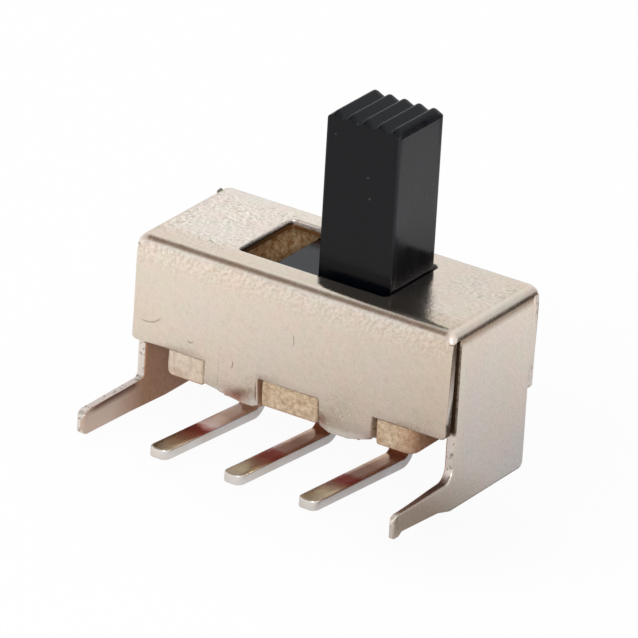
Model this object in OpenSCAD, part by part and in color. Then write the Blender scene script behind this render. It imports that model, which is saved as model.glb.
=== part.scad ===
// Miniature slide switch, one pole and two positions, for a board that stands at right angles
// to the knob's plane. Millimetres. X runs along the knob's travel, Z up along the knob, and the
// terminals and legs point to -Y. The origin is on the plane that the case stands on, under the
// middle of the case. The knob is modelled at the +X end of its travel.

/* [Case] */
// Length over the two end plates
case_l = 8.52; // [8.2:0.02:10]
// Depth over the two long flaps
case_w = 3.62; // [3.3:0.02:5]
// Height of the end plates, from the feet to the top face
case_h = 4.43; // [4.2:0.02:5.2]
// Thickness of the sheet metal
sheet_t = 0.23; // [0.15:0.01:0.26]
// Outer radius of the folds along the top edges
fold_r = 0.30; // [0.28:0.01:0.45]
// How far each long flap hangs below the top face
flap_drop = 2.61; // [2.4:0.01:2.8]
// How far each end plate stands out past the ends of the long flaps
plate_proud = 0.09; // [0.02:0.01:0.14]
// Gap between an end plate's edge and the long flap beside it
seam_gap = 0.08; // [0.03:0.01:0.2]
// Distance from the top face down to the start of the corner seams
seam_top = 0.22; // [0.15:0.01:0.28]
// Radius of the upright corners, seen from above
corner_r = 0.14; // [0.05:0.01:0.2]
// Radius of the flaps' and plates' lower corners
blank_r = 0.15; // [0.05:0.01:0.22]

/* [Slot] */
// Width of the slot in the top face
slot_w = 2.18; // [2:0.01:2.4]
// Free space between the knob and the slot's end at each stop
stop_gap = 0.02; // [0.01:0.01:0.1]
// Radius of the slot's corners
slot_r = 0.12; // [0.05:0.01:0.3]

/* [Anchor legs] */
// Height of a leg at its tip
leg_h = 0.49; // [0.35:0.01:0.6]
// Height of a leg's underside above the feet, at its tip
leg_z = 0.25; // [0.15:0.01:0.35]
// How far the leg's underside has dropped towards the feet where it meets the plate
leg_drop = 0.11; // [0:0.01:0.14]
// Reach of a leg's tip from the case's middle plane
leg_reach = 3.88; // [3:0.02:5]
// Radius in the corner between leg and plate
leg_fillet = 0.30; // [0.1:0.01:0.5]
// How far the toe hangs below the leg's underside
toe_drop = 0.07; // [0.02:0.01:0.09]
// Length of the sloping step from the plate's foot to the leg's underside
leg_step = 0.50; // [0.2:0.01:0.8]
// Radius of the leg's upper tip corner
leg_tip_r = 0.19; // [0.05:0.01:0.24]

/* [Crimp tabs] */
// Distance between the inner edges of a flap's two tabs
tab_span = 1.64; // [1.2:0.02:1.9]
// Width of a tab
tab_w = 1.44; // [1:0.02:1.5]
// How far a tab's outer corner stays above the board's underside
tab_lift = 0.08; // [0:0.01:0.15]
// Width of the lip that is pressed in under the board
lip_w = 1.02; // [0.6:0.01:1.2]
// Length of the bevel at each end of a lip
lip_bevel = 0.22; // [0.05:0.01:0.28]
// Thickness of the lip under the board
lip_t = 0.12; // [0.06:0.01:0.18]
// Reach of the lip under the board, from the flap's outer face
lip_reach = 0.50; // [0.4:0.01:0.7]
// Outer radius where the tab turns in
lip_r = 0.10; // [0.05:0.01:0.15]

/* [Terminal board] */
// Thickness of the board
board_t = 0.61; // [0.5:0.01:0.8]
// Distance from the board's end to the end plate
board_end_gap = 0.66; // [0.4:0.01:0.9]
// Radius of the board's corners
board_r = 0.38; // [0.1:0.01:0.5]
// How far the board's edge stays behind the case's outer face
board_inset = 0.04; // [0.01:0.01:0.1]
// Play between board and case
board_play = 0.03; // [0.01:0.01:0.08]
// Extra width of each notch in the board, on the +X side of its tab
notch_slack = 0.06; // [0:0.01:0.1]

/* [Terminals] */
// Distance between neighbouring terminals
pitch = 2.00; // [1.9:0.01:2.2]
// Width of a terminal's tail
term_w = 0.52; // [0.4:0.01:0.7]
// Thickness of a terminal
term_t = 0.24; // [0.15:0.01:0.3]
// Reach of a tail's tip from the case's middle plane
term_reach = 3.96; // [3:0.02:5]
// Inner radius of the bend
bend_r = 0.22; // [0.1:0.01:0.3]
// Slope of the tail, in degrees
tail_rise = 4.3; // [0:0.1:6]
// Radius of the tail's tip corners
tip_r = 0.20; // [0.05:0.01:0.25]
// Height of the bend's underside above the feet
term_lift = 0.00; // [0:0.01:0.1]
// Width of the contact blade above the board
blade_w = 1.30; // [1.1:0.01:1.35]
// Height of the contact blade above the board
blade_h = 1.25; // [1:0.01:1.3]
// Play of a terminal in its hole in the board
hole_play = 0.02; // [0.01:0.01:0.05]

/* [Slider] */
// Length of the knob along the travel
knob_l = 1.94; // [1.6:0.01:2.2]
// Width of the knob
knob_w = 1.75; // [1.5:0.01:1.9]
// Height of the knob above the case, to the foot of its ridges
knob_h = 3.76; // [2:0.02:6]
// Number of ridges on the knob
ridge_count = 5; // [3:1:7]
// Height of a ridge
ridge_h = 0.15; // [0.1:0.01:0.2]
// Radius of a ridge's crest
ridge_r = 0.045; // [0.03:0.005:0.05]
// Radius of the knob's upright edges
knob_r = 0.06; // [0.03:0.01:0.2]
// Length of the carrier under the top face
carrier_l = 4.50; // [4.2:0.02:5]
// Play of the carrier between case and board
carrier_play = 0.05; // [0.02:0.01:0.08]
// Radius of the carrier's upright edges
carrier_r = 0.20; // [0.05:0.01:0.4]

/* [Contact clip] */
// Thickness of the clip's sheet
clip_t = 0.12; // [0.08:0.01:0.15]
// Length of the clip
clip_l = 2.70; // [2.5:0.01:2.9]
// Width of the slit between the clip's fingers
clip_slit = 0.50; // [0.3:0.01:0.8]
// Half the clear width of the clip at its roof and mouth
clip_half = 0.30; // [0.25:0.01:0.35]
// Gap between a finger and the blade that it touches
clip_gap = 0.03; // [0.02:0.01:0.05]
// Play of the clip in its pocket
pocket_play = 0.05; // [0.02:0.01:0.1]
// Thickness of the slider's roof over the pocket
pocket_roof = 0.40; // [0.3:0.01:0.45]

/* [Hidden] */
$fn = 48;
nickel = [0.82, 0.77, 0.72];
phenolic = [0.80, 0.70, 0.56];
silver = [0.80, 0.78, 0.76];
black = [0.13, 0.14, 0.17];
bronze = [0.78, 0.52, 0.30];

cut = sheet_t;                                  // how far a cut runs past the face it opens
travel = pitch;                                 // the clip moves from one pair of blades to the next
slider_x = travel / 2;
slot_l = knob_l + travel + 2 * stop_gap;
flap_l = case_l - 2 * plate_proud;
flap_z = case_h - flap_drop;                    // lower edge of a long flap
seam_z = case_h - seam_top;                     // upper end of the corner seams
fold_z = case_h - fold_r;                       // where the folds end and the flat walls start
plate_w = case_w - 2 * (sheet_t + seam_gap);
board_z = flap_z - board_play - board_t;        // underside of the board
board_top = board_z + board_t;
board_l = case_l - 2 * (sheet_t + board_end_gap);
board_w = case_w - 2 * board_inset;
tab_x = (tab_span + tab_w) / 2;                 // middle of a tab
lip_x = (tab_span + lip_w) / 2;                 // middle of a lip, at the tab's inner edge
lip_z = board_z - board_play - lip_t;           // underside of a lip
bend_out = bend_r + term_t;
bend_y = -term_t / 2 - bend_r;                  // centre of the bend
bend_z = term_lift + bend_out;
tail_l = (term_reach + bend_y - bend_out * sin(tail_rise)) / cos(tail_rise);
carrier_w = case_w - 2 * (sheet_t + carrier_play);
carrier_z = board_top + carrier_play;
carrier_top = case_h - sheet_t - carrier_play;
ridge_pitch = knob_l / ridge_count;
pocket_w = 2 * (clip_half + clip_t + pocket_play);
pocket_l = clip_l + 2 * pocket_play;
pocket_top = carrier_top - pocket_roof;
slit_w = term_t + 2 * (clip_gap + hole_play);
slit_top = board_top + blade_h + carrier_play + pocket_play;
clip_roof = pocket_top - pocket_play - clip_t / 2;   // middle of the clip's roof sheet
clip_mouth = carrier_z + pocket_play + clip_t / 2;   // middle of the clip's lower edges

// A rectangle centred on the origin, with round corners.
module rounded_rect(l, w, r) {
    square([l - 2 * r, w], center = true);
    square([l, w - 2 * r], center = true);
    for (x = [-1, 1], y = [-1, 1])
        translate([x * (l / 2 - r), y * (w / 2 - r)]) circle(r);
}

// A rectangle standing on the X axis whose two lower corners are round.
module round_footed(l, h, r) {
    translate([-l / 2, r]) square([l, h - r]);
    translate([-l / 2 + r, 0]) square([l - 2 * r, h]);
    for (x = [-1, 1]) translate([x * (l / 2 - r), r]) circle(r);
}

// A rectangle standing on the X axis whose two upper corners are round.
module round_topped(l, h, r) {
    translate([0, h]) mirror([0, 1]) round_footed(l, h, r);
}

// The corner left between two edges at right angles and the round that joins them.
module inside_corner(r) {
    difference() {
        square(r);
        translate([r, r]) circle(r);
    }
}

// A strip of thickness t along a line of points, with round bends and ends.
module bent_strip(points, t) {
    for (i = [1 : len(points) - 1]) {
        step = points[i] - points[i - 1];
        translate(points[i - 1]) rotate(atan2(step.y, step.x))
            translate([0, -t / 2]) square([norm(step), t]);
    }
    for (p = points) translate(p) circle(d = t);
}

// Stands a drawing of Y and Z up and gives it the length l along X, about the middle.
module along_x(l) {
    translate([-l / 2, 0, 0]) rotate([90, 0, 90]) linear_extrude(l) children();
}

// Stands a drawing of X and Z up and gives it the length l along Y, about the middle.
module along_y(l) {
    translate([0, l / 2, 0]) rotate([90, 0, 0]) linear_extrude(l) children();
}

// The block that the folded top fills: round along all four top edges.
module folded_block(l, w, h, r) {
    intersection() {
        along_x(l) round_topped(w, h, r);
        along_y(w) round_topped(l, h, r);
    }
}

// What is cut away at each corner, up to the seam's end: a plan of X and Y, for one corner.
module seam_plan() {
    plate_in = case_l / 2 - sheet_t;
    flap_in = case_w / 2 - sheet_t;
    translate([flap_l / 2, plate_w / 2]) square([plate_proud + cut, sheet_t + seam_gap + cut]);
    translate([plate_in, plate_w / 2]) square([sheet_t + cut, flap_in - plate_w / 2]);
}

// The top face with its four folds, down to where the flat walls start.
module case_top() {
    difference() {
        intersection() {
            folded_block(case_l, case_w, case_h, fold_r);
            translate([0, 0, fold_z]) linear_extrude(fold_r)
                rounded_rect(case_l, case_w, corner_r);
        }
        folded_block(case_l - 2 * sheet_t, case_w - 2 * sheet_t, case_h - sheet_t,
                     fold_r - sheet_t);
        translate([0, 0, fold_z]) linear_extrude(fold_r + cut)
            rounded_rect(slot_l, slot_w, slot_r);
        for (x = [0, 1], y = [0, 1]) mirror([x, 0, 0]) mirror([0, y, 0])
            translate([0, 0, fold_z - cut]) linear_extrude(seam_z - fold_z + cut) seam_plan();
    }
}

// One long flap's outline: a wide plate with two tabs, whose outer corners are cut up at a slant.
module flap_outline() {
    inner = tab_span / 2;
    outer = inner + tab_w;
    translate([0, flap_z]) round_footed(flap_l, fold_z - flap_z, blank_r);
    for (m = [0, 1]) mirror([m, 0])
        polygon([[inner, fold_z], [inner, board_z], [inner + lip_w, board_z],
                 [outer, board_z + tab_lift], [outer, fold_z]]);
}

// The lip that each tab turns in under the board: a section of Y and Z, outer face at Y = 0.
module lip_section() {
    translate([lip_r, lip_z]) square([lip_reach - lip_r, lip_t]);
    translate([0, lip_z + lip_r]) square([sheet_t, board_z - lip_z + lip_t]);
    translate([lip_r, lip_z + lip_r]) circle(lip_r);
}

// One lip, on the X axis: its section carried along X, with both ends bevelled.
module lip() {
    end = lip_w / 2;
    low = end - lip_bevel;
    intersection() {
        along_x(lip_w) lip_section();
        along_y(2 * lip_reach + cut)
            polygon([[-end, fold_z], [-end, board_z], [-low, lip_z], [low, lip_z], [end, board_z],
                     [end, fold_z]]);
    }
}

// The front flap with its tabs and lips, on the -Y side.
module long_flap() {
    translate([0, -case_w / 2 + sheet_t / 2, 0]) along_y(sheet_t) flap_outline();
    for (x = [-lip_x, lip_x]) translate([x, -case_w / 2, 0]) lip();
}

// One end plate's outline of Y and Z, with its leg towards -Y.
module plate_outline() {
    leg_l = leg_reach - plate_w / 2 + leg_tip_r;
    heel = [-plate_w / 2, 0];
    instep = [-plate_w / 2 - leg_step, leg_z - leg_drop];
    toe = [-leg_reach + 2 * blank_r, leg_z];
    round_footed(plate_w, fold_z, blank_r);
    translate(heel) square([plate_w / 2, leg_z + leg_h]);
    translate([-leg_reach + leg_l / 2, leg_z + leg_h / 2]) rounded_rect(leg_l, leg_h, leg_tip_r);
    translate([-leg_reach + blank_r, leg_z + blank_r - toe_drop]) circle(blank_r);
    polygon([heel, instep, toe, [-plate_w / 2, leg_z + leg_h / 2]]);
    translate([-plate_w / 2, leg_z + leg_h]) mirror([1, 0]) inside_corner(leg_fillet);
}

module end_plate() {
    translate([case_l / 2 - sheet_t / 2, 0, 0]) along_x(sheet_t) plate_outline();
}

// One sheet: the top, two long flaps with crimp tabs, and two end plates with legs.
module metal_case() {
    color(nickel) {
        case_top();
        long_flap();
        mirror([0, 1, 0]) long_flap();
        end_plate();
        mirror([1, 0, 0]) end_plate();
    }
}

// The board that closes the case, notched for the tabs and slotted for the terminals.
module terminal_board() {
    notch_w = tab_w + 2 * board_play + notch_slack;
    notch_d = sheet_t + board_play - board_inset;
    color(phenolic) translate([0, 0, board_z]) linear_extrude(board_t) difference() {
        rounded_rect(board_l, board_w, board_r);
        for (x = [-tab_x, tab_x], y = [-1, 1])
            translate([x + notch_slack / 2, y * (board_w / 2 - notch_d / 2 + cut / 2)])
                square([notch_w, notch_d + cut], center = true);
        for (i = [-1 : 1])
            translate([i * pitch, 0])
                square([term_w + 2 * hole_play, term_t + 2 * hole_play], center = true);
    }
}

// One terminal: a contact blade on the board, a neck through it, a bend and a tail.
module terminal(x) {
    color(silver) translate([x, 0, 0]) {
        translate([0, 0, board_top]) along_y(term_t) round_topped(blade_w, blade_h, tip_r);
        translate([-term_w / 2, -term_t / 2, bend_z]) cube([term_w, term_t, board_top - bend_z]);
        translate([0, bend_y, bend_z]) rotate([90, 0, 90]) rotate(-90 - tail_rise) {
            rotate_extrude(angle = 90 + tail_rise)
                translate([bend_r, -term_w / 2]) square([term_t, term_w]);
            translate([bend_r, 0, 0]) rotate([90, 0, 90]) linear_extrude(term_t)
                mirror([1, 0]) rotate(90) translate([0, -tail_l])
                round_footed(term_w, tail_l, tip_r);
        }
    }
}

module terminal_left() { terminal(-pitch); }
module terminal_common() { terminal(0); }
module terminal_right() { terminal(pitch); }

// The knob's front outline, from the carrier up, with a row of round-crested ridges.
module knob_outline() {
    rise = ridge_h - ridge_r;
    lean = atan2(rise, ridge_pitch / 2) + asin(ridge_r / norm([rise, ridge_pitch / 2]));
    touch = [ridge_r * sin(lean), rise + ridge_r * cos(lean)];
    top = case_h + knob_h;
    translate([-knob_l / 2, carrier_top - cut]) square([knob_l, top - carrier_top + cut]);
    for (i = [0 : ridge_count - 1])
        translate([(i + 0.5) * ridge_pitch - knob_l / 2, top]) {
            polygon([[-ridge_pitch / 2, 0], [-touch.x, touch.y], [touch.x, touch.y],
                     [ridge_pitch / 2, 0]]);
            translate([0, rise]) circle(ridge_r);
        }
}

// The plastic slider: knob and carrier in one, hollow below for the clip and the blades.
module slider() {
    color(black) translate([slider_x, 0, 0]) difference() {
        union() {
            translate([0, 0, carrier_z]) linear_extrude(carrier_top - carrier_z)
                rounded_rect(carrier_l, carrier_w, carrier_r);
            intersection() {
                along_y(knob_w) knob_outline();
                translate([0, 0, carrier_top - cut]) linear_extrude(case_h + knob_h)
                    rounded_rect(knob_l, knob_w, knob_r);
            }
        }
        translate([-pocket_l / 2, -pocket_w / 2, carrier_z - cut])
            cube([pocket_l, pocket_w, pocket_top - carrier_z + cut]);
        translate([-carrier_l / 2 - cut, -slit_w / 2, carrier_z - cut])
            cube([carrier_l + 2 * cut, slit_w, slit_top - carrier_z + cut]);
    }
}

// The sprung clip: a folded roof and two pairs of fingers that pinch the blades.
module contact_clip() {
    pinch = term_t / 2 + clip_gap + clip_t / 2;
    side = clip_half + clip_t / 2;
    waist = clip_mouth + (clip_roof - clip_mouth) * 0.4;
    color(bronze) translate([slider_x, 0, 0]) difference() {
        along_x(clip_l) for (m = [0, 1]) mirror([m, 0])
            bent_strip([[0, clip_roof], [side, clip_roof], [side, clip_roof - clip_t],
                        [pinch, waist], [side, clip_mouth]], clip_t);
        translate([-clip_slit / 2, -case_w / 2, 0])
            cube([clip_slit, case_w, clip_roof - clip_t]);
    }
}

metal_case();
terminal_board();
terminal_left();
terminal_common();
terminal_right();
slider();
contact_clip();
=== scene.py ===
# %% [markdown]
# # A miniature slide switch
# The switch is a folded nickel-plated case, a fibre board that closes it from below, three silvered
# terminals, and a black moulded slider whose knob stands out of a slot. The solids come ready made
# as a fixed frame. This lesson gives each of them its finished surface: rounded folds, sheared
# edges, punched fibre and moulded plastic, each in the place that the frame gives.
# %% Start: load the frame
from math import cos, pi, radians, sin

import bmesh
import bpy
import numpy as np
from mathutils import Matrix, Vector


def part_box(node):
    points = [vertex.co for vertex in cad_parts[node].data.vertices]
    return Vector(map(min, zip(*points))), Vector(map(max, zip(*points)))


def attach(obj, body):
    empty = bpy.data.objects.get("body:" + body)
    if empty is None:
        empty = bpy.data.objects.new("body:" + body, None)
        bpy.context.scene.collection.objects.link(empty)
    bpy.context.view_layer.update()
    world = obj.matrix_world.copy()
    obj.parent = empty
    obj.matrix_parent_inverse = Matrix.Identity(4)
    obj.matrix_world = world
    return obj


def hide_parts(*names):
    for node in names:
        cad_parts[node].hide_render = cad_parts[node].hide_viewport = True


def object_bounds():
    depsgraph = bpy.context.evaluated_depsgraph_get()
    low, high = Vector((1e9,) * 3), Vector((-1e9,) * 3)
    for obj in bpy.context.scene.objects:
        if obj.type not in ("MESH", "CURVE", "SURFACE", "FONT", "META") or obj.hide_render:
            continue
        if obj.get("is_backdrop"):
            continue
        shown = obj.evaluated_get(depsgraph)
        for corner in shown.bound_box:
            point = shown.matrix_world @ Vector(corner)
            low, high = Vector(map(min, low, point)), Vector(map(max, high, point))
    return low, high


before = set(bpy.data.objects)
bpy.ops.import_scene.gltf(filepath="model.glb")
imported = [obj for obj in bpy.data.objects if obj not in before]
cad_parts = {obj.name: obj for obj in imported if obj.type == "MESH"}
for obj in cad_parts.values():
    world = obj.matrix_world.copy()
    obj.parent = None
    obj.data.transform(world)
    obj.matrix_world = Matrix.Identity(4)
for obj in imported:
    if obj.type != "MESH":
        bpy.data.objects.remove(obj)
CAD_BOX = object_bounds()
print("nodes:", ", ".join(sorted(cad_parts)))

# %% [markdown]
# ## Sizes
# All shapes are worked out in millimetres and turned to metres when a mesh is made. The main sizes
# are measured on the frame's nodes, so the surfaces follow the solids. The small ones, such as the
# sheet's thickness, are those of the solids and can't be read from a box.
# %% Sizes, in millimetres
MM = 0.001


def node_box(name):
    """Lowest and highest corner of a node, in millimetres."""
    low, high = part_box(name)
    return np.array(low) / MM, np.array(high) / MM


case_low, case_high = node_box("metal_case")
board_low, board_high = node_box("terminal_board")
slider_low, slider_high = node_box("slider")
case_x, case_y, case_h = case_high
sheet = 0.23
edge = 0.035  # radius of a sheared edge
fold_r = 0.30
fold_z = case_h - fold_r
flap_drop = 2.61
flap_x, flap_z = case_x - 0.02, case_h - flap_drop
flap_end_r = 0.075
skew = 0.018  # how far the flaps' right ends stray inwards for each mm down
seam_gap = 0.08
plate_y = case_y - sheet - seam_gap
board_z, board_top = board_low[2], board_high[2]
slot_x, slot_y, slot_r = 1.99, 1.09, 0.12
tab_in, tab_out, lip_long = 0.82, 2.26, 1.02
leg_tip = -case_low[1]
pitch, tail_half, tail_thick = 2.0, 0.26, 0.24
blade_rise, blade_half = 1.25, 0.65
slider_x = 1.0  # the middle of the slider at rest
knob_half, knob_deep, ridge_rise, ridge_count = 0.97, 0.875, 0.15, 5
shoulder = slider_high[2] - ridge_rise
carrier_half = 2.25
print(f"case {2 * case_x:.2f} x {2 * case_y:.2f} x {case_h:.2f} mm, legs reach {leg_tip:.2f} mm")

# %% [markdown]
# ## Camera
# A small part is best seen from far away with a long lens, so its parallel edges stay almost
# parallel. The camera looks at the middle of the case from the front right, from 25 degrees above
# the horizon, and is rolled a little.
# %% Camera
AZIMUTH, ELEVATION, ROLL = radians(32.22), radians(24.8), radians(3.42)
DISTANCE = 197.56
ASIDE, BELOW = 0.386, 0.476
SENSOR = 36.0
LENS = 497.4


def put(name, data):
    """A new object in the scene, made from a mesh, a camera or a light."""
    made = bpy.data.objects.new(name, data)
    bpy.context.scene.collection.objects.link(made)
    return made


def mesh_object(name, points, faces):
    """A new object from points, in metres, and faces."""
    mesh = bpy.data.meshes.new(name)
    mesh.from_pydata(points, [], faces)
    return put(name, mesh)


def make_camera():
    """A camera on a sphere round the case, turned to its middle, then rolled and moved aside."""
    back = Vector((sin(AZIMUTH) * cos(ELEVATION), -cos(AZIMUTH) * cos(ELEVATION), sin(ELEVATION)))
    level = back.to_track_quat("Z", "Y").to_matrix()
    turned = level @ Matrix.Rotation(ROLL, 3, "Z")
    aim = Vector((0, 0, case_h - 1))
    place = aim + back * DISTANCE - turned.col[0] * ASIDE - turned.col[1] * BELOW
    camera = put("camera", bpy.data.cameras.new("camera"))
    camera.data.sensor_width = SENSOR
    camera.data.lens = LENS
    camera.data.clip_start = 0.01
    camera.data.clip_end = 5
    camera.matrix_world = Matrix.Translation(place * MM) @ turned.to_4x4()
    bpy.context.scene.camera = camera
    return camera


camera = make_camera()
print("camera at", [round(v, 4) for v in camera.location])

# %% [markdown]
# ## Nodes of a material
# A material is a small network. One function adds a node, sets its properties and fills its inputs,
# either with a value or with a link from another node, so a network reads from top to bottom. Wear
# and stains repeat one idea: a region is a product of soft limits, such as 0 at one height and 1 at
# another, and a colour is laid over the tone made so far inside such a region.
# %% Adding nodes
def colour(text):
    """An sRGB colour such as #d8c8b4 as the linear RGBA that Blender works in."""
    parts = [int(text[i:i + 2], 16) / 255 for i in (1, 3, 5)]
    return [p / 12.92 if p <= 0.04045 else ((p + 0.055) / 1.055) ** 2.4 for p in parts] + [1.0]


def add(tree, kind, inputs=None, **settings):
    """Adds a node with its settings, and fills its inputs with values, colours, nodes or sockets.
    The kind is the node's class without ShaderNode, such as Math for ShaderNodeMath."""
    made = tree.nodes.new("ShaderNode" + kind)
    for name, value in settings.items():
        setattr(made, name, value)
    for key, value in (inputs or {}).items():
        socket = made.inputs[key]
        source = value.outputs[0] if isinstance(value, bpy.types.Node) else value
        if isinstance(source, bpy.types.NodeSocket):
            tree.links.new(source, socket)
        else:
            socket.default_value = colour(source) if isinstance(source, str) else source
    return made


# %% Regions and layers of colour
def region(tree, share, *limits):
    """How far a place is inside a region: share in its middle and 0 outside. A limit is a share of
    its own, or a value with where the region begins, where it is full, and what is left outside.
    The limits are multiplied, and a share of 1 leaves the first one as it is."""
    for limit in limits:
        if isinstance(limit, tuple):
            value, begins, full, outside = (*limit, 0.0)[:4]
            limit = add(tree, "MapRange", {"Value": value, "From Min": begins,
                        "From Max": full, "To Min": outside})
        if share == 1:
            share = limit
        else:
            share = add(tree, "Math", {0: limit, 1: share}, operation="MULTIPLY")
    return share


def layered(tree, tone, layers, **blend):
    """Lays colours over a tone, one after another. A layer is a colour, its share in the middle of
    its region, and the region's limits."""
    for over, share, *limits in layers:
        tone = add(tree, "Mix", {0: region(tree, share, *limits), 6: tone, 7: over},
                   data_type="RGBA", **blend).outputs[2]
    return tone


def bands(tree, value, stops):
    """A colour that follows a value through stops of value and colour."""
    return layered(tree, stops[0][1], [(text, 1, (value, low, high))
                   for (low, _), (high, text) in zip(stops, stops[1:])])


def patches(tree, place, scale, detail, begins, full, outside=0.0):
    """The patches where a noise pattern is strong: 1 inside them, and another value outside."""
    noise = add(tree, "TexNoise", {"Vector": place, "Scale": scale, "Detail": detail})
    return region(tree, 1, (noise, begins, full, outside))


# %% Start and end of a material
def new_material(name):
    """An empty material, its tree, and the surface position in millimetres."""
    made = bpy.data.materials.new(name)
    made.use_nodes = True
    tree = made.node_tree
    tree.nodes.clear()
    place = add(tree, "TexCoord").outputs["Object"]
    place = add(tree, "VectorMath", {0: place, "Scale": 1 / MM}, operation="SCALE")
    return made, tree, place


def finish_material(made, tone, rough, **others):
    """Ends a material's network with the main shader and the output, and returns the material."""
    tree = made.node_tree
    settings = {"Base Color": tone, "Roughness": rough, **others}
    shader = add(tree, "BsdfPrincipled", settings)
    add(tree, "OutputMaterial", {"Surface": shader})
    return made


# %% [markdown]
# ## Floor, background and light
# The part stands on a pale floor under soft light. The background is white because camera rays see
# white, not because of more light: the floor mixes its own soft shading, which keeps the part's
# shadow, with plain white. Shiny metal mostly shows what stands round it. So its rays see a white
# studio with dim cards, a brown one high in front, and a brown and a black one behind on the right:
# they draw the soft lines that make a fold look like metal, and keep the black knob's side black.
# The big lamps are hidden from reflections, so that the metal shows the studio and not the lamps.
# Only a small lamp in front is mirrored, as a bright dot on a corner here and there.
# %% World
def smooth_rise(tree, place, towards, begins, full):
    """A soft step from 0 to 1 by how far a place or direction reaches towards another one."""
    reach = add(tree, "VectorMath", {0: place, 1: Vector(towards)}, operation="DOT_PRODUCT")
    return add(tree, "MapRange", {"Value": reach.outputs["Value"], "From Min": begins,
               "From Max": full}, interpolation_type="SMOOTHSTEP")


def make_world():
    """White for the camera; for reflections a white studio with three dim cards in its sky. A card
    is a direction, the cosines of the angles where it begins and where it is full, and a colour."""
    world = bpy.data.worlds.new("studio")
    bpy.context.scene.world = world
    world.use_nodes = True
    tree = world.node_tree
    tree.nodes.clear()
    ray = add(tree, "LightPath").outputs
    direction = add(tree, "TexCoord").outputs["Generated"]
    cards = []
    for towards, rim, core, tint in (((-0.484, -0.34, 0.80), 0.86, 0.992, "#766151"),
                                     ((0.632, 0.768, -0.01), 0.955, 0.987, "#33271f"),
                                     ((0.484, 0.768, 0.419), 0.970, 0.992, "#120d0a")):
        towards = Vector(towards).normalized()
        cards.append((tint, 1, smooth_rise(tree, direction, towards, rim, core)))
    sky = layered(tree, "#f7f9fb", cards)
    shiny = add(tree, "Math", {0: ray["Is Glossy Ray"], 1: ray["Is Transmission Ray"]},
                operation="MAXIMUM")
    light = layered(tree, "#b9bbc0", [(sky, 1, shiny), ("#ffffff", 1, ray["Is Camera Ray"])])
    background = add(tree, "Background", {"Color": light, "Strength": 1.0})
    add(tree, "OutputWorld", {"Surface": background})


make_world()


# %% Floor
def make_floor():
    """A wide pale table whose top is just under the part's feet. Its colour holds a painted shadow:
    it is cooler and dimmer beside the part, on the side away from the key lamp, with a painted
    shadow spot at the right leg, and dark far behind, past the white sheet on it."""
    half, level = 0.4, -0.00001
    corners = [(x * half, y * half, level) for x, y in ((-1, -1), (1, -1), (1, 1), (-1, 1))]
    floor = mesh_object("floor", corners, [(0, 1, 2, 3)])
    made, tree, place = new_material("matt white table")
    ray = add(tree, "LightPath").outputs
    end = smooth_rise(tree, place, (0.62, 0.78, 0), 19.5, 25.0)
    beside, leg_shadow_reach = (add(tree, "VectorMath", {0: place, 1: Vector(spot)},
                      operation="DISTANCE").outputs["Value"]
                      for spot in ((2.5, 2.0, 0), (4.9, -2.3, 0)))
    # painted shadow: the paint is dimmer near the part and round the right leg
    paint = layered(tree, "#c6c9d0", [("#fefbf7", 1, (beside, 2.0, 11.0)),
                    ("#98908a", 1, (leg_shadow_reach, 3.0, 0.6)), ("#463b33", 1, end)])
    shaded = add(tree, "BsdfDiffuse", {"Color": paint})
    bright = layered(tree, paint, [("#ffffff", 1, ray["Is Camera Ray"])])
    white = add(tree, "Emission", {"Color": bright, "Strength": 1.0})
    share = add(tree, "Math", {0: region(tree, 0.95, ray["Is Camera Ray"]),
                1: region(tree, 0.62, ray["Is Glossy Ray"])}, operation="MAXIMUM")
    mixed = add(tree, "MixShader", {0: share, 1: shaded, 2: white})
    add(tree, "OutputMaterial", {"Surface": mixed})
    floor.data.materials.append(made)
    floor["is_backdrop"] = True


make_floor()


# %% Lamps
def make_lamp(name, place, size, power, tint, mirrored=False):
    """A square soft lamp that faces the case, with its place in millimetres."""
    lamp = bpy.data.lights.new(name, "AREA")
    lamp.size = size * MM
    lamp.energy = power
    lamp.color = colour(tint)[:3]
    holder = put(name, lamp)
    holder.location = Vector(place) * MM
    turn = (Vector(place) - Vector((0, 0, case_h / 2))).to_track_quat("Z", "Y")
    holder.rotation_euler = turn.to_euler()
    holder.visible_glossy = mirrored


make_lamp("key", (-178, -158, 120), 260, 0.22, "#fffaf4")
make_lamp("top", (-90, 60, 240), 240, 0.20, "#ffffff")
make_lamp("spark", (140, -212, 126), 60, 0.22, "#ffffff", mirrored=True)
bpy.context.scene.view_settings.view_transform = "Standard"
print("lamps: key from the front left, top from behind, spark from the front")

# %% [markdown]
# ## Nickel-plated steel
# The case is pressed from thin steel strip and barrel plated with nickel, which is a warm grey
# metal. Plating levels the strip but leaves a fine satin grain, tumbling leaves pits and small
# marks, and the sheared edges are rougher. Metallic is 1 or close to it, and the colour is the
# mirror colour. The grain is drawn at 0.15 mm, coarser than the real one, so that it shows.
# %% Marks and relief
def scratch(tree, place, middle, centre, reach, width):
    """A fine curved line, seen from the front: close to a circle round centre, and within reach of
    middle, both given by x and z."""
    middle, centre = (Vector((x, 0, z)) for x, z in (middle, centre))
    flat = add(tree, "VectorMath", {0: place, 1: Vector((1, 0, 1))}, operation="MULTIPLY")
    radius, away = (add(tree, "VectorMath", {0: flat, 1: point},
                    operation="DISTANCE").outputs["Value"] for point in (centre, middle))
    off = add(tree, "Math", {0: radius, 1: (middle - centre).length}, operation="SUBTRACT")
    off = add(tree, "Math", {0: off}, operation="ABSOLUTE")
    return region(tree, 1, (off, width, 0.0), (away, reach, reach * 0.6))


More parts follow.
